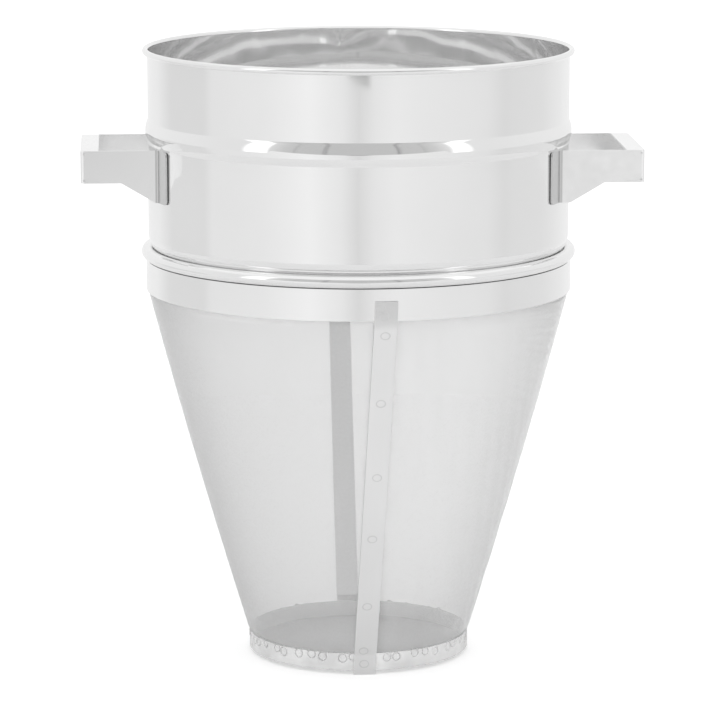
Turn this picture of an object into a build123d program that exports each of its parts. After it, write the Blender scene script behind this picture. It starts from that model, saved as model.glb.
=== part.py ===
from build123d import *
import os
from math import acos, asin, atan, cos, degrees, radians, sin, sqrt, tan

# Double strainer for honey: a coarse drum sieve standing in the rolled ring of a fine cone sieve.
# Z is the common axis of the two sieves and Z = 0 is the surface the strainer stands on.
# The handles point along +X and -X, and the seams of the cone face the front (-Y) and the back.

# ---- driving dimensions, in millimetres and degrees ----
sheet = 0.8  # polished sheet of the drum, collar, bands and seam strips
fit_gap = 0.05  # air between pieces that lie on each other

# coarse sieve: drum
drum_radius = 122.4
rim_height = 357.8  # top of the rolled rim
rim_roll_radius = 1.4  # middle of the rolled sheet
bead_top = 316.4  # stiffening bead pressed outwards around the drum
bead_bottom = 303.2
bead_depth = 1.5
shoulder_height = 250.25  # the wall starts to turn inwards here
shoulder_radius = 14.0
neck_radius = 118.7  # the neck plugs into the ring of the fine sieve
neck_bend_radius = 4.0
neck_bottom = 222.0
neck_lip_radius = 111.5  # inner edge of the lip that carries the coarse mesh

# coarse sieve: mesh and the ring that holds it down
coarse_mesh_radius = 116.6
coarse_mesh_thickness = 1.0
coarse_ring_thickness = 1.0
coarse_weld_count = 24
coarse_weld_radius = 1.8

# coarse sieve: handles, folded from sheet
handle_sheet = 1.0
handle_reach = 161.0  # from the drum's axis to the outside of the end wall
handle_width = 79.2
handle_top = 302.8
handle_bottom = 284.2
handle_root_bottom = 272.8
handle_slope_outer = 137.8  # the lower edge starts to fall towards the drum here
handle_slope_inner = 118.4
handle_end_flange = 10.4
handle_fold_radius = 1.6  # middle of a folded sheet
handle_foot_width = 13.0  # foot welded to the drum
handle_foot_lead = 1.0  # the flat foot touches the drum this many degrees past its wall
handle_foot_corner = 2.5
handle_relief_radius = 0.7
right_handle_shift = -12.0  # the two handles aren't quite opposite each other

# fine sieve: collar with its rolled ring
collar_radius = 123.8
collar_bottom = 217.3
ring_radius = 122.76  # centre of the roll
ring_roll_radius = 3.25  # middle of the rolled sheet
ring_height = 239.3
ring_roll_end = 248.0
clamp_ring_bottom = 218.0
clamp_ring_top = 231.0

# fine sieve: cone of fine mesh, in two halves
mesh_thickness = 0.5
mesh_top = 230.5
cone_top_radius = 122.95
cone_top = 217.0
cone_middle_radius = 95.45  # the mesh bellies out by about a millimetre
cone_middle = 115.4
cone_bottom_radius = 65.4
cone_bottom = 13.8

# fine sieve: base
base_radius = 64.55
base_top = 12.4
base_bottom = 2.3
base_mesh_bottom = 3.0
base_weld_count = 46
base_weld_height = 8.9
base_weld_scatter = 1.0

# fine sieve: strips over the joints of the two mesh halves
strip_width = 13.0
strip_top = 228.5
strip_lean = 1.1  # the front outer strip is welded on slightly askew
strip_lift = 0.1  # outer strips lie this far outside the mesh
inner_strip_lift = 0.4  # keeps the flat inner strips clear of the round mesh
inner_strip_top = 214.0
inner_strip_bottom = 16.0
seam_turn = 2.5  # the cone stands turned by this much against the handles

# electrode marks of the spot welds
weld_radius = 2.3
weld_thickness = 0.2
front_weld_heights = (224.6, 219.9, 209.0, 168.5, 123.5, 85.5, 43.0, 16.8, 8.4)
rear_weld_heights = (223.0, 210.0, 171.0, 128.0, 88.0, 46.0, 17.5, 8.0)

front, rear = -90.0, 90.0  # turns from +X, where strips and marks are drawn, to their side


# ---- helpers: sections are drawn as (radius, height) ----
def save(node, shape):
    """Writes one named piece."""
    shape.label = node
    export_step(shape, f"parts/{node}.step")


def sheet_section(face_line, thickness=sheet):
    """Section of a sheet. face_line gives its edges at a depth below the first face."""
    near, far = Wire(face_line(0)), Wire(face_line(thickness))
    caps = [Line(near @ 0, far @ 0), Line(near @ 1, far @ 1)]
    return make_face([*near.edges(), *far.edges(), *caps])


def turned(section):
    """Solid of revolution about the common axis."""
    return revolve(Plane.XZ * section, Axis.Z)


def flat_ring(inner, outer, bottom, top):
    """Ring of rectangular section."""
    middle = Pos((inner + outer) / 2, (bottom + top) / 2)
    return turned(middle * Rectangle(outer - inner, top - bottom))


def on_circle(centre, radius, angle):
    """Point of a circle, the angle counted from the outward direction."""
    return (centre[0] + radius * cos(radians(angle)), centre[1] + radius * sin(radians(angle)))


def circle_arc(centre, radius, start, size):
    """Arc from the start angle over size degrees."""
    return ThreePointArc(*[on_circle(centre, radius, start + size * part) for part in (0, 0.5, 1)])


class Bow:
    """A slightly bowed line through three (radius, height) points, from bottom to top."""

    def __init__(self, bottom, middle, top):
        self.points = (bottom, middle, top)
        ax, ay = bottom[0] - top[0], bottom[1] - top[1]
        bx, by = middle[0] - top[0], middle[1] - top[1]
        area = 2 * (ax * by - ay * bx)
        x = (by * (ax * ax + ay * ay) - ay * (bx * bx + by * by)) / area
        y = (ax * (bx * bx + by * by) - bx * (ax * ax + ay * ay)) / area
        self.centre = (top[0] + x, top[1] + y)
        self.size = sqrt(x * x + y * y)

    def radius(self, height):
        drop = height - self.centre[1]
        return self.centre[0] + sqrt(self.size**2 - drop * drop)

    def lean(self, height):
        """Angle from upright, in degrees."""
        return degrees(atan((self.centre[1] - height) / (self.radius(height) - self.centre[0])))

    def arc(self, shift=0.0):
        """The line as an edge, moved outwards by shift, from top to bottom."""
        return ThreePointArc(*[(r + shift, z) for r, z in reversed(self.points)])

    def part(self, bottom, top, shift):
        """The bow between two heights, moved outwards by shift."""
        return Bow(*[(self.radius(z) + shift, z) for z in (bottom, (bottom + top) / 2, top)])


cone = Bow(
    (cone_bottom_radius, cone_bottom),
    (cone_middle_radius, cone_middle),
    (cone_top_radius, cone_top),
)
strip_bow = Bow(
    (cone_bottom_radius + strip_lift, cone_bottom),
    (cone_middle_radius + 2.5 * strip_lift, cone_middle),
    (collar_radius + fit_gap, cone_top - sheet),
)


def weld_mark(distance, height, lean=0.0, aside=0.0, radius=weld_radius):
    """Low disc on a face at +X that leans out by lean degrees, moved aside along Y."""
    disc = Cylinder(radius, weld_thickness, align=(Align.CENTER, Align.CENTER, Align.MIN))
    return Pos(distance, aside, height) * Rot(0, 90 + lean, 0) * disc


# ---- coarse sieve ----
def drum_line(depth):
    """Edges of the drum wall at a depth below its outer face, from the rim down."""
    roll = (drum_radius - sheet / 2 + rim_roll_radius, rim_height - rim_roll_radius - sheet / 2)
    wall = drum_radius - depth
    bead_crest = (wall + bead_depth, (bead_top + bead_bottom) / 2)
    shoulder = (drum_radius - shoulder_radius, shoulder_height)
    both_radii = shoulder_radius + neck_bend_radius
    turn = degrees(acos((neck_radius + neck_bend_radius - shoulder[0]) / both_radii))
    bend = on_circle(shoulder, both_radii, -turn)
    neck = neck_radius - depth
    lip = neck_bottom + depth
    return [
        circle_arc(roll, rim_roll_radius - sheet / 2 + depth, -115, 295),
        Line((wall, roll[1]), (wall, bead_top)),
        ThreePointArc((wall, bead_top), bead_crest, (wall, bead_bottom)),
        Line((wall, bead_bottom), (wall, shoulder_height)),
        circle_arc(shoulder, shoulder_radius - depth, 0, -turn),
        circle_arc(bend, neck_bend_radius + depth, 180 - turn, turn),
        Line((neck, bend[1]), (neck, lip)),
        Line((neck, lip), (neck_lip_radius, lip)),
    ]


def handle_corners(side, shift):
    """Plan of one side wall: toe of the foot, root of the wall, and corner with the end wall."""
    wall = side * (handle_width - handle_sheet) / 2 + shift
    outer_face = abs(wall) + handle_sheet / 2
    touch = asin(outer_face / drum_radius) + radians(handle_foot_lead)
    normal = Vector(cos(touch), side * sin(touch))
    along = Vector(-sin(touch), side * cos(touch))
    distance = drum_radius + fit_gap + handle_sheet / 2
    root = Vector((distance - wall * normal.Y) / normal.X, wall)
    return [root + along * handle_foot_width, root, Vector(handle_reach - handle_sheet / 2, wall)]


def make_handle(shift):
    """Handle along +X folded from one sheet: feet, side walls, and an end wall with two flanges."""
    low_side, high_side = handle_corners(-1, shift), handle_corners(1, shift)
    fold_line = FilletPolyline(*low_side, *reversed(high_side), radius=handle_fold_radius)
    handle = Pos(0, 0, handle_root_bottom) * extrude(
        trace(fold_line, handle_sheet), handle_top - handle_root_bottom
    )
    far = handle_reach + handle_sheet
    outline = Polyline(
        (0, handle_root_bottom),
        (handle_slope_inner, handle_root_bottom),
        (handle_slope_outer, handle_bottom),
        (far, handle_bottom),
        (far, handle_top),
        (0, handle_top),
        close=True,
    )
    handle &= extrude(Plane.XZ * make_face(outline), handle_width + 50, both=True)

    # The side walls stop short of the end wall's flanges, which fold in over and under them.
    fold = handle_fold_radius + handle_sheet / 2
    flange_middle = handle_reach - handle_end_flange / 2
    tip = Rectangle(handle_end_flange, handle_width)
    corners = tip.vertices().group_by(Axis.X)[-1]
    flange = extrude(Pos(flange_middle, shift) * fillet(corners, fold), handle_sheet)
    slot = Box(handle_end_flange - fold, handle_width + 50, handle_sheet + fit_gap)
    slot_x = handle_reach - (handle_end_flange + fold) / 2
    slot_inset = (handle_sheet + fit_gap) / 2
    relief = Cylinder(handle_relief_radius, handle_width + 50, rotation=(90, 0, 0))
    for edge, inward in ((handle_top, -1), (handle_bottom, 1)):
        handle -= Pos(slot_x, shift, edge + inward * slot_inset) * slot
        handle += Pos(0, 0, min(edge, edge + inward * handle_sheet)) * flange
        relief_z = edge + inward * (handle_sheet + handle_relief_radius)
        handle -= Pos(handle_reach - fold, shift, relief_z) * relief

    toes = [corners[0] for corners in (low_side, high_side)]
    short = handle.edges().filter_by(lambda e: abs(e.length - handle_sheet) < 0.01)
    at_toes = [e for e in short if any((Vector(e.center().X, e.center().Y) - t).length < 1 for t in toes)]
    return fillet(at_toes, handle_foot_corner)


def make_coarse_sieve():
    save("drum_shell", turned(sheet_section(drum_line)))
    mesh_bottom = neck_bottom + sheet + fit_gap
    mesh = Cylinder(
        coarse_mesh_radius,
        coarse_mesh_thickness,
        align=(Align.CENTER, Align.CENTER, Align.MIN),
    )
    save("coarse_mesh", Pos(0, 0, mesh_bottom) * mesh)
    ring_bottom = mesh_bottom + coarse_mesh_thickness + fit_gap
    ring_top = ring_bottom + coarse_ring_thickness
    save("coarse_mesh_ring", flat_ring(neck_lip_radius, coarse_mesh_radius, ring_bottom, ring_top))
    track = (neck_lip_radius + coarse_mesh_radius) / 2
    marks = [
        Rot(0, 0, step * 360 / coarse_weld_count) * weld_mark(track, ring_top, -90, radius=coarse_weld_radius)
        for step in range(coarse_weld_count)
    ]
    save("coarse_ring_spot_welds", Compound(marks))
    save("handle_right", make_handle(right_handle_shift))
    save("handle_left", Rot(0, 0, 180) * make_handle(0))


# ---- fine sieve ----
def collar_line(depth):
    """Edges of the collar at a depth below its outer face: the upright wall, then the roll."""
    wall = collar_radius - depth
    roll = ring_roll_radius + sheet / 2 - depth
    start = degrees(acos((wall - ring_radius) / roll))
    entry = on_circle((ring_radius, ring_height), roll, -start)
    return [
        Line((wall, collar_bottom), entry),
        circle_arc((ring_radius, ring_height), roll, -start, ring_roll_end + start),
    ]


def mesh_line(depth):
    """Edges of the fine mesh at a depth below its outer face, from the collar down."""
    tail = base_radius - sheet - fit_gap - depth
    joggle = (tail, base_top - fit_gap)
    foot = (cone_bottom_radius - depth, cone_bottom)
    shoulder = (cone_top_radius - depth, cone_top)
    return [
        Line((shoulder[0], mesh_top), shoulder),
        cone.arc(-depth),
        Line(foot, joggle),
        Line(joggle, (tail, base_mesh_bottom)),
    ]


def outer_strip_line(depth):
    """Edges of an outer strip, the depth counted outwards from the face on the mesh."""
    top = collar_radius + fit_gap + depth
    bottom = base_radius + fit_gap + depth
    return [
        Line((top, strip_top), (top, cone_top - sheet)),
        strip_bow.arc(depth),
        Line((cone_bottom_radius + strip_lift + depth, cone_bottom), (bottom, base_top - sheet)),
        Line((bottom, base_top - sheet), (bottom, 0)),
    ]


def make_strip(section, lean=0.0):
    """Flat strip at +X cut from a bent blank, its top leaning towards +Y."""
    blank = extrude(Plane.XZ * section, strip_width, both=True)
    cutter = Box(3 * collar_radius, strip_width, 3 * strip_top)
    return blank & Pos(0, 0, cone_middle) * Rot(-lean, 0, 0) * cutter


def strip_marks(heights, lean=0.0):
    """Row of electrode marks down the middle of an outer strip at +X."""
    marks = []
    for height in heights:
        aside = (height - cone_middle) * tan(radians(lean))
        distance, tilt = strip_bow.radius(height), strip_bow.lean(height)
        if height > cone_top:
            distance, tilt = collar_radius + fit_gap, 0
        if height < base_top:
            distance, tilt = base_radius + fit_gap, 0
        marks.append(weld_mark(distance + sheet / cos(radians(tilt)), height, tilt, aside))
    return Compound(marks)


def base_marks():
    """Electrode marks around the base band, unevenly spaced as by hand, clear of the strips."""
    marks = []
    pitch = 360 / base_weld_count
    for step in range(base_weld_count):
        angle = (step + 0.5) * pitch + 0.2 * pitch * sin(2.4 * step)
        from_strip = min(abs(angle - 90), abs(angle - 270))
        if from_strip > degrees(asin(strip_width / 2 / base_radius)) + 2.5:
            height = base_weld_height + base_weld_scatter * sin(1.7 * step + 1)
            marks.append(Rot(0, 0, angle) * weld_mark(base_radius, height))
    return Compound(marks)


def make_fine_sieve():
    turn = Rot(0, 0, seam_turn)
    save("collar", turned(sheet_section(collar_line)))
    clamp_outer = cone_top_radius - mesh_thickness - fit_gap
    save("clamp_ring", flat_ring(clamp_outer - sheet, clamp_outer, clamp_ring_bottom, clamp_ring_top))

    half = revolve(Plane.XZ * sheet_section(mesh_line, mesh_thickness), Axis.Z, 180)
    save("cone_mesh_right", turn * Rot(0, 0, front) * half)
    save("cone_mesh_left", turn * Rot(0, 0, rear) * half)

    outer_section = sheet_section(outer_strip_line)
    save("front_strip_outer", turn * Rot(0, 0, front) * make_strip(outer_section, strip_lean))
    save("rear_strip_outer", turn * Rot(0, 0, rear) * make_strip(outer_section))
    inner_face = cone.part(inner_strip_bottom, inner_strip_top, -mesh_thickness - inner_strip_lift)
    inner_section = sheet_section(lambda depth: [inner_face.arc(-depth)])
    save("front_strip_inner", turn * Rot(0, 0, front) * make_strip(inner_section))
    save("rear_strip_inner", turn * Rot(0, 0, rear) * make_strip(inner_section))
    save("front_strip_spot_welds", turn * Rot(0, 0, front) * strip_marks(front_weld_heights, strip_lean))
    save("rear_strip_spot_welds", turn * Rot(0, 0, rear) * strip_marks(rear_weld_heights))

    save("base_band", flat_ring(base_radius - sheet, base_radius, base_bottom, base_top))
    cup = base_radius - sheet - mesh_thickness - 2 * fit_gap
    disc_top = base_mesh_bottom + mesh_thickness
    cup_outline = Polyline(
        (0, base_mesh_bottom),
        (cup, base_mesh_bottom),
        (cup, base_top),
        (cup - mesh_thickness, base_top),
        (cup - mesh_thickness, disc_top),
        (0, disc_top),
        close=True,
    )
    save("base_mesh", turned(make_face(cup_outline)))
    inner = cup - mesh_thickness - fit_gap
    save("base_inner_ring", flat_ring(inner - sheet, inner, disc_top + fit_gap, base_top))
    save("base_spot_welds", turn * base_marks())


os.makedirs("parts", exist_ok=True)
make_coarse_sieve()
make_fine_sieve()
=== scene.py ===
from math import acos, asin, ceil, cos, degrees, exp, hypot, pi, radians, sin, sqrt, tan
from random import Random

import bpy
from mathutils import Matrix, Vector


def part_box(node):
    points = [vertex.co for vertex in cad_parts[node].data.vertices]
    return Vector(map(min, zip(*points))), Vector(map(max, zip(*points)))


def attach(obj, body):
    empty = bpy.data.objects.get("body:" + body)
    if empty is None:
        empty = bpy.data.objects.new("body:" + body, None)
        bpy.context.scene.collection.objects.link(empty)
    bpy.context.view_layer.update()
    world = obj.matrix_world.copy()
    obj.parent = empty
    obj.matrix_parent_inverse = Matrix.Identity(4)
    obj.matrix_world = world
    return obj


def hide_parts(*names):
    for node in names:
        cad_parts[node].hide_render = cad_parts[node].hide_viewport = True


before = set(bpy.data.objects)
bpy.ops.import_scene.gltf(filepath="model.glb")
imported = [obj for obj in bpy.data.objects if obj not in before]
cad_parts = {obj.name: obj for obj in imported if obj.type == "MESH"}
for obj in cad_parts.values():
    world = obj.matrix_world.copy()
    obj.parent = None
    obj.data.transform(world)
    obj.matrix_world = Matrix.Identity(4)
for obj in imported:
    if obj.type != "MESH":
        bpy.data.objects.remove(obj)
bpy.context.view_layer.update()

# A polished drum sieve standing in the rolled ring of a fine wire cone. All lengths below are in
# millimetres, and mesh_object turns them into the frame's metres. Heights count from the floor.

MM = 0.001


def node_box(node):
    """Lowest and highest corner of a CAD node, in millimetres."""
    low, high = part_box(node)
    return low / MM, high / MM


# ---- sizes read from the frame ----
drum_low, drum_high = node_box("drum_shell")
collar_low, collar_high = node_box("collar")
clamp_low, clamp_high = node_box("clamp_ring")
band_low, band_high = node_box("base_band")
cup_low, cup_high = node_box("base_mesh")
inner_ring_low, inner_ring_high = node_box("base_inner_ring")
coarse_low, coarse_high = node_box("coarse_mesh")
coarse_ring_low, coarse_ring_high = node_box("coarse_mesh_ring")
front_strip_top = node_box("front_strip_outer")[1].z

# ---- sizes the frame doesn't give ----
sheet = 0.8
rim_roll = 1.4  # radius to the middle of the rolled sheet
bead_top, bead_bottom, bead_depth = 316.4, 303.2, 1.5
shoulder_height, shoulder_radius = 250.25, 14.0
neck_radius, neck_bend, neck_lip_radius = 118.7, 4.0, 111.5
ring_roll = 3.25  # radius to the middle of the rolled sheet
ring_roll_end = 248.0  # degrees from the outward direction
wall_past_ring_centre = 1.04
fold_mouth, fold_depth = 0.45, 0.65  # the fold between the ring and the collar's wall, its faces painted dark as shade
cone_top, cone_middle, cone_bottom = 217.0, 115.4, 13.8
cone_top_radius, cone_middle_radius, cone_bottom_radius = 122.95, 95.45, 65.4
strip_width = 13.0
strip_lean = 1.5  # degrees from upright, of the front strips
seam_turn = 2.5  # degrees from front and back, of the cone's seams
fit_gap = 0.05

drum_radius = drum_high.x - 2 * rim_roll
rim_height = drum_high.z
collar_radius = collar_high.x - ring_roll - sheet / 2 + wall_past_ring_centre
base_radius = band_high.x
base_top = band_high.z

front_seam, rear_seam = -90 + seam_turn, 90 + seam_turn


# ---- mesh helpers ----
def mesh_object(name, points, faces, body, material, replaces=(), sharp=35):
    """Makes one piece of the model, smooth except at edges sharper than the given angle."""
    mesh = bpy.data.meshes.new(name)
    mesh.from_pydata([tuple(c * MM for c in p) for p in points], [], faces)
    mesh.validate()
    mesh.shade_smooth()
    mesh.set_sharp_from_angle(angle=radians(sharp))
    mesh.materials.append(material)
    piece = bpy.data.objects.new(name, mesh)
    bpy.context.scene.collection.objects.link(piece)
    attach(piece, body)
    if replaces:
        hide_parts(*replaces)
    return piece


def arc(centre, radius, start, sweep, steps=8):
    """Points of an arc, its angles in degrees from the outward direction."""
    turns = [radians(start + sweep * i / steps) for i in range(steps + 1)]
    return [(centre[0] + radius * cos(a), centre[1] + radius * sin(a)) for a in turns]


def run(start, end, steps=1):
    """Points of a straight run, its end left out."""
    return [tuple(a + (b - a) * i / steps for a, b in zip(start, end)) for i in range(steps)]


def flat_run(radius, top, bottom, steps):
    """Points straight down a wall, with close ones at both ends that keep its neighbours' shading out."""
    near = 0.25
    middle = run((radius, top - near), (radius, bottom + near), steps)
    return [(radius, top)] + middle + [(radius, bottom + near)]


def chord(radius, aside):
    """Half the length of a circle's chord at a distance from its middle, or 0 past the circle."""
    return sqrt(max(radius * radius - aside * aside, 0))


def turned(outline, angles, offset=None):
    """Points and faces of a closed outline of (radius, height) points turned about the axis.

    The outline runs clockwise, with the outside on its left. offset(angle, height) moves points
    outwards.
    """
    size, count = len(outline), len(angles)
    points = []
    for angle in angles:
        c, s = cos(radians(angle)), sin(radians(angle))
        for r, z in outline:
            if offset:
                r += offset(angle, z)
            points.append((r * c, r * s, z))
    faces = []
    for i in range(count):
        a, b = i * size, (i + 1) % count * size
        for j in range(size):
            k = (j + 1) % size
            faces.append((a + j, a + k, b + k, b + j))
    return points, faces


def full_turn(steps, dense_at=(), reach=1.5, dense_steps=12):
    """Angles of a full turn, with closer ones around the given angles."""
    angles = {360 * i / steps for i in range(steps)}
    for middle in dense_at:
        angles = {a for a in angles if abs((a - middle + 180) % 360 - 180) > reach}
        dense = range(-dense_steps, dense_steps + 1)
        angles |= {(middle + reach * i / dense_steps) % 360 for i in dense}
    return sorted(angles)


def wire_points(points, faces, path, normals, radius, sides):
    """Adds a wire with closed ends along a path to the lists of points and faces."""
    first = len(points)
    last = len(path) - 1
    for i, (spot, normal) in enumerate(zip(path, normals)):
        along = (path[min(i + 1, last)] - path[max(i - 1, 0)]).normalized()
        across = along.cross(normal).normalized()
        up = across.cross(along)
        for k in range(sides):
            turn = pi / 2 + 2 * pi * k / sides
            points.append(spot + radius * (cos(turn) * across + sin(turn) * up))
    for i in range(last):
        a, b = first + i * sides, first + (i + 1) * sides
        for k in range(sides):
            n = (k + 1) % sides
            faces.append((a + k, a + n, b + n, b + k))
    faces.append(tuple(first + k for k in reversed(range(sides))))
    faces.append(tuple(first + last * sides + k for k in range(sides)))


# ---- materials ----
noise_low, noise_high = 0.3, 0.7  # a noise seldom goes past these
# Where painted shade darkens a steel, as (start, end, grey), the places in millimetres.
foot_painted_shade = (125.2, 124.4, 0.62)  # painted shade on the handles' feet where they lie against the drum, by distance from the axis
collar_painted_shade = (211, 217, 0.8)  # painted shade on the strips where they lie over the collar, by height


def material_nodes(name):
    """A new material, its node tree and its principled shader."""
    material = bpy.data.materials.new(name)
    material.use_nodes = True
    return material, material.node_tree, material.node_tree.nodes["Principled BSDF"]


def noise_of(tree, scale, detail=3.0, stretch=(1, 1, 1)):
    """Noise over the object's own coordinates, with features per metre."""
    place = tree.nodes.new("ShaderNodeTexCoord")
    mapping = tree.nodes.new("ShaderNodeMapping")
    mapping.inputs["Scale"].default_value = stretch
    noise = tree.nodes.new("ShaderNodeTexNoise")
    noise.inputs["Scale"].default_value = scale
    noise.inputs["Detail"].default_value = detail
    tree.links.new(place.outputs["Object"], mapping.inputs["Vector"])
    tree.links.new(mapping.outputs["Vector"], noise.inputs["Vector"])
    return noise


def spread(tree, source, low, high, target):
    """Feeds a noise, spread over a range, to a number socket."""
    span = tree.nodes.new("ShaderNodeMapRange")
    span.inputs["From Min"].default_value = noise_low
    span.inputs["From Max"].default_value = noise_high
    span.inputs["To Min"].default_value = low
    span.inputs["To Max"].default_value = high
    tree.links.new(source, span.inputs["Value"])
    tree.links.new(span.outputs["Result"], target)


def tint(tree, source, dark, light, target):
    """Feeds a mix of two greys, led by a noise, to a colour socket."""
    ramp = tree.nodes.new("ShaderNodeValToRGB")
    ramp.color_ramp.elements[0].position = noise_low
    ramp.color_ramp.elements[1].position = noise_high
    ramp.color_ramp.elements[0].color = (dark, dark, dark, 1)
    ramp.color_ramp.elements[1].color = (light, light, light, 1)
    tree.links.new(source, ramp.inputs["Fac"])
    tree.links.new(ramp.outputs["Color"], target)


def bumped(tree, shader, source, strength, distance):
    """Raises the shader's surface by a noise."""
    bump = tree.nodes.new("ShaderNodeBump")
    bump.inputs["Strength"].default_value = strength
    bump.inputs["Distance"].default_value = distance
    tree.links.new(source, bump.inputs["Height"])
    tree.links.new(bump.outputs["Normal"], shader.inputs["Normal"])


def steel(name, greys, rough, grain, stretch=(1, 1, 1), bump=0.0, metal=1.0, clouds=14.0):
    """Stainless steel, with its darkest and lightest grey and its lowest and highest roughness.

    grain and clouds are the features per metre of the roughness and of the grey. bump is in
    millimetres.
    """
    material, tree, shader = material_nodes(name)
    shader.inputs["Metallic"].default_value = metal
    cloudy = noise_of(tree, clouds, detail=2.0)
    tint(tree, cloudy.outputs["Fac"], *greys, shader.inputs["Base Color"])
    fine = noise_of(tree, grain, detail=4.0, stretch=stretch)
    spread(tree, fine.outputs["Fac"], *rough, shader.inputs["Roughness"])
    if bump:
        bumped(tree, shader, fine.outputs["Fac"], strength=0.3, distance=bump * MM)
    return material


def with_painted_shade(material, axes, start, end, grey):
    """Paints shade onto a steel: turns it to another grey as the distance along some axes goes from start
    to end.
    """
    tree = material.node_tree
    target = tree.nodes["Principled BSDF"].inputs["Base Color"]
    place = tree.nodes.new("ShaderNodeTexCoord")
    part = tree.nodes.new("ShaderNodeVectorMath")
    part.operation = "MULTIPLY"
    part.inputs[1].default_value = axes
    tree.links.new(place.outputs["Object"], part.inputs[0])
    away = tree.nodes.new("ShaderNodeVectorMath")
    away.operation = "LENGTH"
    tree.links.new(part.outputs["Vector"], away.inputs[0])
    step = tree.nodes.new("ShaderNodeMapRange")
    step.interpolation_type = "SMOOTHSTEP"
    step.inputs["From Min"].default_value = start * MM
    step.inputs["From Max"].default_value = end * MM
    tree.links.new(away.outputs["Value"], step.inputs["Value"])
    tree.links.new(mixed(tree, step.outputs["Result"], target.links[0].from_socket, grey), target)
    return material


def make_materials():
    return {
        "drum": steel(
            "polished_steel", (0.9, 0.93), (0.02, 0.04), 90, stretch=(1, 1, 0.1), metal=0.9
        ),
        "ring": steel("polished_ring_steel", (0.9, 0.93), (0.03, 0.07), 120, metal=0.9),
        # painted shade: the handles' feet, where they lie against the drum, are painted darker
        "handle": with_painted_shade(
            steel("sheet_steel", (0.94, 0.99), (0.16, 0.24), 160), (1, 1, 0), *foot_painted_shade
        ),
        "band": steel(
            "band_steel", (0.84, 1.0), (0.08, 0.18), 220, bump=0.05, metal=0.6, clouds=60
        ),
        # painted shade: the strips are painted darker where they lie over the collar
        "strip": with_painted_shade(
            steel("strip_steel", (0.92, 0.97), (0.28, 0.36), 260, stretch=(1, 1, 0.2)),
            (0, 0, 1), *collar_painted_shade,
        ),
        # painted shade: near-black steel for the faces of the fold, standing in for the shadow in the
        # crease
        "fold": steel("fold_painted_shade", (0.2, 0.3), (0.4, 0.6), 300),
        "weld": steel("weld_steel", (0.62, 0.78), (0.2, 0.35), 500, metal=0.8),
        "strip_weld": steel("strip_weld_steel", (0.78, 0.84), (0.4, 0.5), 500),
        "fine_wire": steel(
            "fine_wire_steel", (0.92, 1.0), (0.3, 0.45), 120, metal=0.3, clouds=700
        ),
        # painted light: a lighter, less metallic copy of the fine wire steel, though both meshes are the
        # same wire, to lift the shade under the base
        "base_wire": steel(
            "base_wire_steel", (0.97, 1.0), (0.3, 0.45), 120, metal=0.05, clouds=700
        ),
        "coarse_wire": steel("coarse_wire_steel", (0.7, 0.8), (0.15, 0.3), 150),
    }


# ---- coarse sieve ----
drum_seam = 91.8  # the drum's own butt weld, at the back, in degrees
# Waves of the rolled sheet, as (size, waves in a turn, radians for each millimetre of height, start).
drum_ripples = ((0.025, 9, 0.04, 1), (0.012, 14, -0.05, 2.2), (0.003, 23, 0.05, 0), (0.03, 5, 0.06, 0.5))
weld_dip, weld_dip_reach = 0.22, 7  # the sheet falls in towards the butt weld
weld_peak, weld_peak_reach = 0.1, 0.7  # and the weld itself stands out
wave_start, wave_end, least_wave = 20, 12, 0.2  # the waves fade near the shoulder and the rim


def rippled(ripples, angle, height):
    """How far a sheet with the given waves stands out."""
    a = radians(angle)
    return sum(size * sin(count * a + climb * height + start) for size, count, climb, start in ripples)


def past_angle(angle, middle, radius):
    """Distance along a circle from the middle angle to an angle."""
    return ((angle - middle + 180) % 360 - 180) * radians(1) * radius


def drum_waves(angle, height):
    """How far the drum's wall stands out: slight waves of rolled sheet, and the peaked butt weld."""
    past = past_angle(angle, drum_seam, drum_radius)
    seam = weld_peak * exp(-((past / weld_peak_reach) ** 2)) - weld_dip * exp(-abs(past) / weld_dip_reach)
    calm = min(max((height - shoulder_height) / wave_start, 0), 1)
    calm *= min(max((rim_height - height) / wave_end, least_wave), 1)
    return (rippled(drum_ripples, angle, height) + seam) * calm


def drum_line(depth):
    """One face of the drum's sheet at a depth below its outer face, from the rim down."""
    roll = (drum_radius - sheet / 2 + rim_roll, rim_height - rim_roll - sheet / 2)
    wall = drum_radius - depth
    half = (bead_top - bead_bottom) / 2
    bead_size = (half * half + bead_depth * bead_depth) / (2 * bead_depth)
    bead_turn = degrees(asin(half / bead_size))
    bead_centre = (wall + bead_depth - bead_size, bead_bottom + half)
    shoulder = (drum_radius - shoulder_radius, shoulder_height)
    both = shoulder_radius + neck_bend
    turn = degrees(acos((neck_radius + neck_bend - shoulder[0]) / both))
    bend = arc(shoulder, both, -turn, 0, 1)[0]
    neck, lip = neck_radius - depth, drum_low.z + depth
    rim_start, rim_sweep = -115, 295
    line = arc(roll, rim_roll - sheet / 2 + depth, rim_start, rim_sweep, 24)[:-1]
    line += flat_run(wall, roll[1], bead_top, 6)
    line += arc(bead_centre, bead_size, bead_turn, -2 * bead_turn, 16)[:-1]
    line += flat_run(wall, bead_bottom, shoulder_height, 8)
    line += arc(shoulder, shoulder_radius - depth, 0, -turn, 12)[:-1]
    line += arc(bend, neck_bend + depth, 180 - turn, turn, 8)
    line += run((neck, bend[1] - 0.1), (neck, lip), 2) + run((neck, lip), (neck_lip_radius, lip), 2)
    return line + [(neck_lip_radius, lip)]


def make_drum(materials):
    outline = drum_line(0) + drum_line(sheet)[::-1]
    points, faces = turned(outline, full_turn(240, (drum_seam,)), drum_waves)
    mesh_object("drum", points, faces, "coarse_sieve", materials["drum"], ["drum_shell"])


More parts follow.
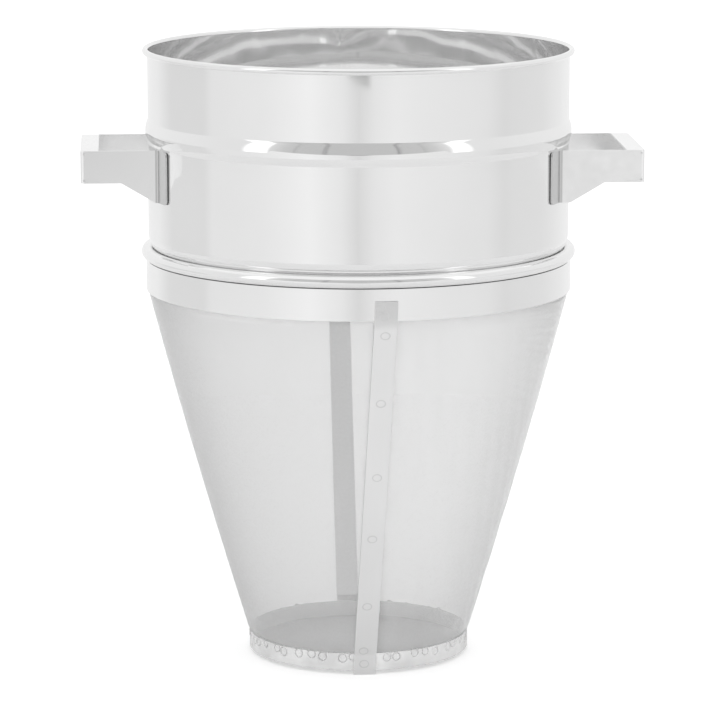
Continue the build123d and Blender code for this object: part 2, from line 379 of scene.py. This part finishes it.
def ring_outline(inner, outer, bottom, top, edge=0.12):
    """Outline of a flat ring with broken edges."""
    return [
        (inner + edge, top), (outer - edge, top), (outer, top - edge), (outer, bottom + edge),
        (outer - edge, bottom), (inner + edge, bottom), (inner, bottom + edge), (inner, top - edge),
    ]


def make_flat_ring(name, low, high, inner, body, material, node):
    outline = ring_outline(inner, high.x, low.z, high.z)
    points, faces = turned(outline, full_turn(180))
    mesh_object(name, points, faces, body, material, [node])


def add_weld_mark(points, faces, place, radius, height, steps=28):
    """Adds the round ridge that an electrode leaves, its own +Z the surface normal."""
    # the ridge's profile, as shares of the mark's radius and height
    ridge = ((1.0, -0.8), (0.94, 0.4), (0.87, 1.0), (0.78, 0.6), (0.68, -0.8))
    first, size = len(points), len(ridge)
    for k in range(steps):
        a = 2 * pi * k / steps
        for r, z in ridge:
            points.append(place @ Vector((radius * r * cos(a), radius * r * sin(a), height * z)))
    for k in range(steps):
        a, b = first + k * size, first + (k + 1) % steps * size
        for j in range(size):
            n = (j + 1) % size
            faces.append((a + j, b + j, b + n, a + n))


def make_coarse_mesh(materials):
    """Plain weave of round wires, each going over one wire and under the next."""
    wire = (coarse_high.z - coarse_low.z) / 4
    snug = 0.98  # crossing wires just don't touch
    pitch = 2.0
    middle = (coarse_high.z + coarse_low.z) / 2
    reach = coarse_high.x - 0.3
    points, faces = [], []
    count = int(reach / pitch)
    for along_x in (True, False):
        for i in range(-count, count + 1):
            aside = (i + 0.5) * pitch
            if abs(aside) >= reach:
                continue
            half = chord(reach, aside)
            steps = int(half / pitch)
            path = []
            for j in range(-steps - 1, steps + 1):
                at = min(max((j + 0.5) * pitch, -half), half)
                over = 1 if (i + j) % 2 == along_x else -1
                height = middle + over * wire
                path.append(Vector((at, aside, height) if along_x else (aside, at, height)))
            if len(path) > 1:
                normals = [Vector((0, 0, 1))] * len(path)
                wire_points(points, faces, path, normals, wire * snug, 4)
    mesh_object(
        "coarse_weave", points, faces, "coarse_sieve", materials["coarse_wire"],
        ["coarse_mesh"], sharp=120,
    )


def make_coarse_welds(materials):
    track = (neck_lip_radius + coarse_ring_high.x) / 2
    count, tilt, mark_radius, mark_height = 24, 3, 2.2, 0.14
    points, faces = [], []
    chance = Random(3)
    for step in range(count):
        place = (
            Matrix.Rotation(radians(step * 360 / count), 4, "Z")
            @ Matrix.Translation((track, 0, coarse_ring_high.z))
            @ Matrix.Rotation(radians(chance.uniform(-tilt, tilt)), 4, "X")
            @ Matrix.Rotation(radians(chance.uniform(-tilt, tilt)), 4, "Y")
        )
        add_weld_mark(points, faces, place, mark_radius, mark_height)
    mesh_object(
        "coarse_ring_marks", points, faces, "coarse_sieve", materials["weld"],
        ["coarse_ring_spot_welds"], sharp=60,
    )


def make_coarse_sieve(materials):
    make_drum(materials)
    make_coarse_mesh(materials)
    make_flat_ring(
        "coarse_clamp", coarse_ring_low, coarse_ring_high, neck_lip_radius, "coarse_sieve",
        materials["band"], node="coarse_mesh_ring",
    )
    make_coarse_welds(materials)
    for node in ("handle_right", "handle_left"):
        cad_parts[node].material_slots[0].material = materials["handle"]


# ---- fine sieve ----
def collar_line(depth):
    """One face of the collar's sheet at a depth below its outer face."""
    wall = collar_radius - depth
    centre = (collar_radius - wall_past_ring_centre, collar_high.z - ring_roll - sheet / 2)
    roll = ring_roll + sheet / 2 - depth
    start = degrees(acos((wall - centre[0]) / roll))
    join = arc(centre, roll, -start, 0, 1)[0][1]
    line = run((wall, collar_low.z), (wall, join - fold_mouth), 3)
    if depth == 0:
        inside = wall - fold_depth
        line.append((wall, join - fold_mouth))
        line += [(inside, join - 0.7 * fold_mouth), (inside, join - 0.3 * fold_mouth)]
    return line + arc(centre, roll, -start, ring_roll_end + start, 40)


def make_collar(materials):
    outline = (collar_line(0) + collar_line(sheet)[::-1])[::-1]
    points, faces = turned(outline, full_turn(240))
    collar = mesh_object(
        "collar_with_ring", points, faces, "fine_sieve", materials["ring"], ["collar"]
    )
    # the fold's faces get the near-black steel: painted shade in the crease
    collar.data.materials.append(materials["fold"])
    fold_spots = collar_line(0)[4:6]  # the two points at the bottom of the fold
    in_fold = [spot in fold_spots for spot in outline]
    for face in collar.data.polygons:
        if any(in_fold[point % len(outline)] for point in face.vertices):
            face.material_index = 1


foot_length, foot_in = 6.0, 1.7  # how far the mesh goes on down inside the base band, and how far in
foot_normal = (0.85, -0.53)


class ConeLine:
    """The cone mesh's outer face from the base to the collar, by distance along it."""

    def __init__(self):
        bottom = (cone_bottom_radius, cone_bottom)
        middle = (cone_middle_radius, cone_middle)
        top = (cone_top_radius, cone_top)
        ax, ay = bottom[0] - top[0], bottom[1] - top[1]
        bx, by = middle[0] - top[0], middle[1] - top[1]
        area = 2 * (ax * by - ay * bx)
        x = (by * (ax * ax + ay * ay) - ay * (bx * bx + by * by)) / area
        y = (ax * (bx * bx + by * by) - bx * (ax * ax + ay * ay)) / area
        self.centre = (top[0] + x, top[1] + y)
        self.size = hypot(x, y)
        self.low = asin((cone_bottom - self.centre[1]) / self.size)
        self.high = asin((cone_top - self.centre[1]) / self.size)
        self.length = (self.high - self.low) * self.size
        self.slope = asin((cone_top_radius - cone_bottom_radius) / self.length)

    def at(self, distance):
        """(radius, height) and outward normal (radius, height) parts."""
        if distance > self.length:
            return (cone_top_radius, cone_top + distance - self.length), (1.0, 0.0)
        if distance < 0:
            drop = min(-distance, foot_length)
            return (cone_bottom_radius - min(drop, foot_in), cone_bottom - drop), foot_normal
        turn = self.low + distance / self.size
        normal = (cos(turn), sin(turn))
        spot = (self.centre[0] + self.size * normal[0], self.centre[1] + self.size * normal[1])
        return spot, normal

    def radius(self, height):
        drop = height - self.centre[1]
        return self.centre[0] + sqrt(self.size**2 - drop * drop)


cone = ConeLine()
fine_pitch = 0.36
fine_wire = 0.057  # radius
outer_layer, inner_layer = 0.15, 0.3  # depths of the two layers of fine wires
stray = 0.1  # how far a wire may lie off its place, as a share of the pitch
longest_step = 12.0  # of a fine wire's straight parts


def cone_spot(x, y, depth, seam, bias):
    """Point and normal on the half cone past a seam, from their place on the flat panel it is cut from."""
    reach = hypot(x, y)
    distance = reach - cone_bottom_radius / sin(cone.slope)
    turn = (asin(x / reach) - radians(bias)) / sin(cone.slope)
    (r, z), (nr, nz) = cone.at(distance)
    angle = radians(seam) + turn
    r, z = r - depth * nr, z - depth * nz
    c, s = cos(angle), sin(angle)
    return Vector((r * c, r * s, z)), Vector((nr * c, nr * s, nz))


def panel_wires(bias, seed):
    """Ends of the straight wires of a half cone's flat panel, as (crosswise, place, start, end).

    bias is the angle between the wires and the seam the panel starts from. They meet its other seam at
    a different angle, so the near and far sides of the cone never have their wires in line.
    """
    chance = Random(seed)
    below, above = 4.5, 4.0  # how far the wires go on inside the base band and the collar
    covered = 179.9  # degrees of the cone
    low = cone_bottom_radius / sin(cone.slope) - below
    high = low + below + cone.length + above
    near = max(tan(radians(bias)), 1e-6)  # never 0, since wires are divided by it
    far = tan(radians(bias) + radians(covered) * sin(cone.slope))
    steps = int(high / fine_pitch)
    wires = []
    for i in range(steps + 1):
        x = (i + 0.5 + chance.uniform(-stray, stray)) * fine_pitch
        start = max(chord(low, x), x / far)
        end = min(chord(high, x), x / near)
        if start < end:
            wires.append((False, x, start, end))
    for i in range(steps + 1):
        y = (i + 0.5 + chance.uniform(-stray, stray)) * fine_pitch
        start = max(chord(low, y), y * near)
        end = min(chord(high, y), y * far)
        if start < end:
            wires.append((True, y, start, end))
    return wires


def make_cone_half(name, node, seam, bias, seed, material):
    shortest_wire = 0.3
    points, faces = [], []
    for crosswise, place, start, end in panel_wires(bias, seed):
        steps = max(1, ceil((end - start) / longest_step))
        depth = outer_layer if crosswise else inner_layer
        path, normals = [], []
        for i in range(steps + 1):
            at = start + (end - start) * i / steps
            x, y = (at, place) if crosswise else (place, at)
            spot, normal = cone_spot(x, y, depth, seam, bias)
            path.append(spot)
            normals.append(normal)
        if (path[-1] - path[0]).length > shortest_wire:
            wire_points(points, faces, path, normals, fine_wire, 3)
    mesh_object(name, points, faces, "fine_sieve", material, [node], sharp=150)


def make_base_mesh(materials):
    points, faces = [], []
    reach = cup_high.x - 0.25
    wall_top = cup_high.z - 1
    shortest_half = 1
    chance = Random(23)
    for along_x in (True, False):
        height = cup_low.z + (outer_layer if along_x else inner_layer)
        across = Vector((0, 1, 0) if along_x else (1, 0, 0))
        count = int(reach / fine_pitch)
        for i in range(-count, count + 1):
            aside = (i + chance.uniform(-stray, stray)) * fine_pitch
            half = chord(reach, aside)
            if half < shortest_half:
                continue
            line = [(-half, wall_top), (-half, height), (0, height), (half, height), (half, wall_top)]
            path = [Vector((at, aside, z) if along_x else (aside, at, z)) for at, z in line]
            wire_points(points, faces, path, [across] * len(path), fine_wire, 3)
    mesh_object(
        "base_weave", points, faces, "fine_sieve", materials["base_wire"],
        ["base_mesh"], sharp=150,
    )


def strip_rows(line):
    """Spots along a strip's line of (radius, height) points, each with its outward direction."""
    rows = []
    last = len(line) - 1
    for i, (r, z) in enumerate(line):
        before, after = line[max(i - 1, 0)], line[min(i + 1, last)]
        dr, dz = after[0] - before[0], after[1] - before[1]
        size = hypot(dr, dz)
        rows.append(((r, z), (-dz / size, dr / size)))
    return rows


def make_strip(name, node, line, angle, lean, materials):
    """Flat strip with rounded edges along a line of (radius, height) points, from top to bottom."""
    edge = 0.22
    # each point as (share of the width, 0 inner or 1 outer face, millimetres across, millimetres out)
    section = [
        (-0.5, 0, edge, 0), (-0.5, 0, 0, edge), (-0.5, 1, 0, -edge), (-0.5, 1, edge, 0),
        (-0.2, 1, 0, 0), (0.2, 1, 0, 0),
        (0.5, 1, -edge, 0), (0.5, 1, 0, -edge), (0.5, 0, 0, edge), (0.5, 0, -edge, 0),
    ]
    turn = Matrix.Rotation(radians(angle), 4, "Z")
    points, faces = [], []
    size = len(section)
    rows = strip_rows(line)
    for (r, z), (nr, nz) in rows:
        shift = (z - cone_middle) * tan(radians(lean))
        for side, face, across, out in section:
            depth = face * sheet + out
            aside = side * strip_width + across + shift
            points.append(turn @ Vector((r + nr * depth, aside, z + nz * depth)))
    for i in range(len(rows) - 1):
        a, b = i * size, (i + 1) * size
        for k in range(size):
            n = (k + 1) % size
            faces.append((a + k, a + n, b + n, b + k))
    faces.append(tuple(reversed(range(size))))
    faces.append(tuple((len(rows) - 1) * size + k for k in range(size)))
    mesh_object(name, points, faces, "fine_sieve", materials["strip"], [node], sharp=30)


def outer_strip_line():
    """Inner face of an outer strip, from its top on the collar down to the floor."""
    lift, bow = 0.1, 1.5  # off the mesh at the ends, and how many times that more at half height
    steps, bend_steps = 60, 6  # in all, and where the strip comes down off the collar
    on_collar, edge = collar_radius + fit_gap, cone_top - sheet
    line = run((on_collar, front_strip_top), (on_collar, edge), 4)
    for i in range(steps + 1):
        z = edge + (cone_bottom - cone_top + sheet) * i / steps
        bulge = lift * (1 + bow * sin(pi * i / steps))
        top = max(0.0, 1 - i / bend_steps) * (on_collar - cone.radius(edge) - lift)
        line.append((cone.radius(z) + bulge + top, z))
    bottom = base_radius + fit_gap
    line += [(bottom + 0.1, base_top - 0.4), (bottom, base_top - 1.4), (bottom, 6.0), (bottom, 0.0)]
    return line


# Places of the electrode marks, as (height, how far aside of the strip's middle).
front_welds = (
    (224.6, -3.2), (219.9, -1.2), (209.0, 0), (168.5, -0.2), (123.5, 0.2), (85.5, -0.3), (43.0, -0.8),
    (14.6, -1.2), (6.4, -0.6),
)
rear_welds = (
    (223.0, 0.5), (210.0, -0.4), (171.0, 0.3), (128.0, 0), (88.0, -0.5), (46.0, 0.4), (15.0, 0.6),
    (7.0, -0.4),
)


def face_of_strip(line, height):
    """Radius, rise over the height and lean of a strip's outer face at a height of its inner face."""
    rows = strip_rows(line)
    for ((r0, z0), n0), ((r1, z1), n1) in zip(rows, rows[1:]):
        if z1 <= height <= z0:
            share = (z0 - height) / (z0 - z1)
            nr, nz = n0[0] + (n1[0] - n0[0]) * share, n0[1] + (n1[1] - n0[1]) * share
            return r0 + (r1 - r0) * share + sheet * nr, sheet * nz, degrees(asin(-nz))
    raise ValueError(f"the strip doesn't reach {height}")


def make_strip_marks(name, node, welds, angle, lean, seed, materials):
    mark_radius, mark_height, wobble = 3.0, 0.14, 1
    flat = Matrix.Diagonal((0.85, 1, 1, 1))  # the marks are wider than high
    chance = Random(seed)
    points, faces = [], []
    line = outer_strip_line()
    for height, aside in welds:
        radius, rise, tilt = face_of_strip(line, height)
        aside += (height - cone_middle) * tan(radians(lean))
        place = (
            Matrix.Rotation(radians(angle), 4, "Z")
            @ Matrix.Translation((radius, aside, height + rise))
            @ Matrix.Rotation(radians(90 + tilt + chance.uniform(-wobble, wobble)), 4, "Y")
            @ Matrix.Rotation(radians(chance.uniform(-wobble, wobble)), 4, "X")
        )
        add_weld_mark(points, faces, place @ flat, mark_radius, mark_height)
    mesh_object(
        name, points, faces, "fine_sieve", materials["strip_weld"], [node], sharp=60
    )


def base_mark_places():
    """Angle and height of each electrode mark around the base band."""
    count, uneven = 46, 0.2  # marks in a turn, and how far they stray round it as a share of their pitch
    height, scatter = 10.1, 0.7
    past_strip = 2.5  # degrees from a strip's edge to the middle of the next mark, at least
    pitch = 360 / count
    clear = degrees(asin(strip_width / 2 / base_radius)) + past_strip
    places = []
    for step in range(count):
        angle = (step + 0.5) * pitch + uneven * pitch * sin(2.4 * step)
        if min(abs(angle - 90), abs(angle - 270)) > clear:
            places.append((angle + seam_turn, height + scatter * sin(1.7 * step + 1)))
    return places


# The band is pressed in at each weld, and where two welds meet it is at most deepest_dent times as deep.
dent_depth, dent_spread, deepest_dent = 0.14, 8.0, 1.2
dent_reach = 8  # how far round the band a weld is felt
# waves of the band, in the same terms as the drum's
band_ripples = ((0.04, 31, 0.5, 0), (0.03, 47, -0.7, 0))


def band_dents(angle, height):
    """How far the base band is pressed in around its spot welds."""
    pressed = 0.0
    for mark_angle, mark_height in base_mark_places():
        past = past_angle(angle, mark_angle, base_radius)
        if abs(past) < dent_reach:
            pressed += exp(-(past * past + (height - mark_height) ** 2) / dent_spread)
    return rippled(band_ripples, angle, height) - dent_depth * min(pressed, deepest_dent)


def make_base_band(materials):
    edge, rows = 0.15, 8
    inner, outer = base_radius - sheet, base_radius
    top, bottom = base_top - edge, band_low.z + edge
    outline = [(inner + edge, base_top), (outer - edge, base_top)]
    outline += run((outer, top), (outer, bottom), rows) + [(outer, bottom)]
    outline += [(outer - edge, band_low.z), (inner + edge, band_low.z)]
    outline += run((inner, bottom), (inner, top), rows) + [(inner, top)]
    points, faces = turned(outline, full_turn(360), band_dents)
    mesh_object("base_hoop", points, faces, "fine_sieve", materials["band"], ["base_band"])


def make_base_marks(materials):
    smallest, largest, mark_height, wobble = 2.5, 2.9, 0.18, 1.5
    out_of_dent = 0.06
    points, faces = [], []
    chance = Random(11)
    for angle, height in base_mark_places():
        radius = base_radius + band_dents(angle, height)
        place = (
            Matrix.Rotation(radians(angle), 4, "Z")
            @ Matrix.Translation((radius + out_of_dent, 0, height))
            @ Matrix.Rotation(radians(90 + chance.uniform(-wobble, wobble)), 4, "Y")
            @ Matrix.Rotation(radians(chance.uniform(-wobble, wobble)), 4, "X")
        )
        add_weld_mark(points, faces, place, chance.uniform(smallest, largest), mark_height)
    mesh_object(
        "base_marks", points, faces, "fine_sieve", materials["weld"],
        ["base_spot_welds"], sharp=60,
    )


def make_fine_sieve(materials):
    make_collar(materials)
    make_flat_ring(
        "clamp_hoop", clamp_low, clamp_high, clamp_high.x - sheet, "fine_sieve", materials["band"],
        node="clamp_ring",
    )
    wire = materials["fine_wire"]
    make_cone_half("cone_weave_right", "cone_mesh_right", front_seam, bias=0, seed=21, material=wire)
    make_cone_half("cone_weave_left", "cone_mesh_left", rear_seam, bias=12, seed=22, material=wire)
    line = outer_strip_line()
    make_strip("front_strip", "front_strip_outer", line, front_seam, strip_lean, materials)
    make_strip("rear_strip", "rear_strip_outer", line, rear_seam, 0, materials)
    inner_top, inner_length, steps, behind_mesh = 214, 198, 40, 0.9
    heights = [inner_top - inner_length * i / steps for i in range(steps + 1)]
    inner = [(cone.radius(z) - behind_mesh - sheet, z) for z in heights]
    make_strip("front_backing_strip", "front_strip_inner", inner, front_seam, strip_lean, materials)
    make_strip("rear_backing_strip", "rear_strip_inner", inner, rear_seam, 0, materials)
    make_strip_marks(
        "front_strip_marks", "front_strip_spot_welds", front_welds, front_seam, strip_lean, 5, materials
    )
    make_strip_marks("rear_strip_marks", "rear_strip_spot_welds", rear_welds, rear_seam, 0, 6, materials)
    make_base_band(materials)
    make_base_marks(materials)
    make_base_mesh(materials)
    make_flat_ring(
        "base_inner_hoop", inner_ring_low, inner_ring_high, inner_ring_high.x - sheet, "fine_sieve",
        materials["band"], node="base_inner_ring",
    )


# ---- studio ----
camera_heading = -3.4  # degrees from straight in front, towards -X
camera_distance = 2294.0
camera_height = 591.0
camera_pitch = 10.322  # degrees down
camera_yaw = 0.0236  # degrees to the right
camera_lens = 198.56
sensor_width = 36
view_end = 50  # metres


def make_camera():
    data = bpy.data.cameras.new("camera")
    data.lens, data.sensor_width = camera_lens, sensor_width
    data.clip_end = view_end
    camera = bpy.data.objects.new("camera", data)
    turn = radians(camera_heading)
    camera.location = (
        camera_distance * sin(turn) * MM, -camera_distance * cos(turn) * MM, camera_height * MM
    )
    camera.rotation_euler = (radians(90 - camera_pitch), 0, turn - radians(camera_yaw))
    bpy.context.scene.collection.objects.link(camera)
    bpy.context.scene.camera = camera


def ramp_node(tree, stops):
    """Ramp of grey values, its stops given as (degrees from -180 to 180, value)."""
    ramp = tree.nodes.new("ShaderNodeValToRGB")
    elements = ramp.color_ramp.elements
    while len(elements) > 1:
        elements.remove(elements[0])
    for i, (at, value) in enumerate(stops):
        element = elements[0] if i == 0 else elements.new(at / 360 + 0.5)
        if i == 0:
            element.position = at / 360 + 0.5
        element.color = (value, value, value, 1)
    return ramp


def math_node(tree, operation, *values):
    node = tree.nodes.new("ShaderNodeMath")
    node.operation = operation
    for socket, value in zip(node.inputs, values):
        if isinstance(value, (int, float)):
            socket.default_value = value
        else:
            tree.links.new(value, socket)
    return node.outputs[0]


def smooth_step(tree, source, start, end):
    """Rises smoothly from 0 to 1 as the source goes from start to end, in degrees."""
    step = tree.nodes.new("ShaderNodeMapRange")
    step.interpolation_type = "SMOOTHSTEP"
    step.inputs["From Min"].default_value = radians(start)
    step.inputs["From Max"].default_value = radians(end)
    tree.links.new(source, step.inputs["Value"])
    return step.outputs["Result"]


def mixed(tree, share, first, second):
    """Colour between two, each a socket or a grey value."""
    mix = tree.nodes.new("ShaderNodeMix")
    mix.data_type = "RGBA"
    tree.links.new(share, mix.inputs["Factor"])
    for socket, colour in ((mix.inputs[6], first), (mix.inputs[7], second)):
        if isinstance(colour, float):
            socket.default_value = (colour, colour, colour, 1)
        else:
            tree.links.new(colour, socket)
    return mix.outputs[2]


def make_world():
    """White studio, as the polished steel sees it, with bearings counted from the camera.

    Low down it is pale all round. Higher up there is a grey room behind the camera with four thin dark
    lines, and a bright soft box on either side of it. Matt surfaces and the camera see plain white.
    """
    diffuse_white, camera_white, overhead, camera_stand = 1.22, 1.24, 0.95, 0.4
    bow_rise = 0.24  # the grey room's lower edge rises to the sides by this times the bearing squared
    world = bpy.data.worlds.new("studio")
    bpy.context.scene.world = world
    world.use_nodes = True
    tree = world.node_tree
    place = tree.nodes.new("ShaderNodeTexCoord")
    axes = tree.nodes.new("ShaderNodeSeparateXYZ")
    tree.links.new(place.outputs["Generated"], axes.inputs[0])
    x, y, z = axes.outputs
    bearing = math_node(tree, "ARCTAN2", x, math_node(tree, "MULTIPLY", y, -1.0))
    bearing = math_node(tree, "SUBTRACT", bearing, radians(camera_heading))
    share = math_node(tree, "ADD", math_node(tree, "DIVIDE", bearing, 2 * pi), 0.5)
    lift = math_node(tree, "ARCSINE", z)

    low = ramp_node(tree, (
        (-180, 0.93), (-140, 0.88), (-122, 0.74), (-92, 0.74), (-86, 0.82), (-54, 0.86), (-26, 0.95),
        (-9, 0.85), (0, 0.72), (9, 0.83), (20, 0.88), (40, 0.85), (74, 0.8), (86, 0.73), (92, 0.75),
        (118, 0.78), (130, 0.83), (150, 0.9), (180, 0.93),
    ))
    high = ramp_node(tree, (
        (-180, 0.93), (-76, 0.82), (-65, 0.82), (-62, 1.34), (-50, 1.34), (-48, 0.74), (-40, 0.6),
        (-34.6, 0.56), (-33.4, 0.44), (-32.2, 0.55), (-19.2, 0.53), (-17.5, 0.3), (-15.8, 0.53),
        (0, 0.52), (19.6, 0.53), (21.3, 0.3), (23, 0.53), (34.5, 0.56), (35.7, 0.44), (36.9, 0.57),
        (42, 0.62), (50, 0.78), (52.5, 1.34), (61.5, 1.34), (64.5, 0.82), (76, 0.82), (180, 0.93),
    ))
    for ramp in (low, high):
        tree.links.new(share, ramp.inputs["Fac"])
    aside = math_node(tree, "ABSOLUTE", bearing)
    in_room = math_node(tree, "SUBTRACT", 1.0, smooth_step(tree, aside, 46, 50))
    rise = math_node(tree, "MULTIPLY", math_node(tree, "POWER", aside, 2.0), bow_rise)
    over = math_node(tree, "SUBTRACT", lift, math_node(tree, "MULTIPLY", in_room, rise))
    sides = mixed(
        tree, smooth_step(tree, over, -5.5, -4), low.outputs["Color"], high.outputs["Color"]
    )
    whole = mixed(tree, smooth_step(tree, lift, 36, 48), sides, overhead)

    stand = math_node(tree, "SUBTRACT", 1.0, smooth_step(tree, aside, 3, 8))
    stand = math_node(tree, "MULTIPLY", stand, smooth_step(tree, lift, -6.5, -6))
    below_top = math_node(tree, "SUBTRACT", 1.0, smooth_step(tree, lift, -4.4, -3.4))
    stand = math_node(tree, "MULTIPLY", stand, below_top)
    whole = mixed(tree, stand, whole, camera_stand)

    ray = tree.nodes.new("ShaderNodeLightPath")
    whole = mixed(tree, ray.outputs["Is Diffuse Ray"], whole, diffuse_white)
    whole = mixed(tree, ray.outputs["Is Camera Ray"], whole, camera_white)
    tree.links.new(whole, tree.nodes["Background"].inputs["Color"])


def make_floor():
    """Round pale floor, bright enough to run into the white background, and clear from below."""
    radius, steps = 800.0, 96
    pale, camera_glow = 0.71, 0.38
    turns = [2 * pi * k / steps for k in range(steps)]
    points = [(radius * cos(turn), radius * sin(turn), 0) for turn in turns]
    mesh = bpy.data.meshes.new("floor")
    mesh.from_pydata([tuple(c * MM for c in p) for p in points], [], [tuple(range(steps))])
    material, tree, shader = material_nodes("floor_white")
    shader.inputs["Base Color"].default_value = (pale, pale, pale, 1)
    shader.inputs["Roughness"].default_value = 0.9
    shader.inputs["Emission Color"].default_value = (1, 1, 1, 1)
    seen = tree.nodes.new("ShaderNodeLightPath")
    glow = math_node(tree, "MULTIPLY", seen.outputs["Is Camera Ray"], camera_glow)
    tree.links.new(glow, shader.inputs["Emission Strength"])
    under = tree.nodes.new("ShaderNodeNewGeometry")
    clear = tree.nodes.new("ShaderNodeBsdfTransparent")
    either = tree.nodes.new("ShaderNodeMixShader")
    tree.links.new(under.outputs["Backfacing"], either.inputs["Fac"])
    tree.links.new(shader.outputs["BSDF"], either.inputs[1])
    tree.links.new(clear.outputs["BSDF"], either.inputs[2])
    tree.links.new(either.outputs["Shader"], tree.nodes["Material Output"].inputs["Surface"])
    mesh.materials.append(material)
    floor = bpy.data.objects.new("floor", mesh)
    bpy.context.scene.collection.objects.link(floor)


def set_look():
    scene = bpy.context.scene
    scene.view_settings.view_transform = "Standard"
    scene.cycles.max_bounces = 28
    scene.cycles.glossy_bounces = 26
    scene.cycles.diffuse_bounces = 8
    scene.cycles.transparent_max_bounces = 16


make_camera()
make_world()
make_floor()
set_look()
palette = make_materials()
make_coarse_sieve(palette)
make_fine_sieve(palette)
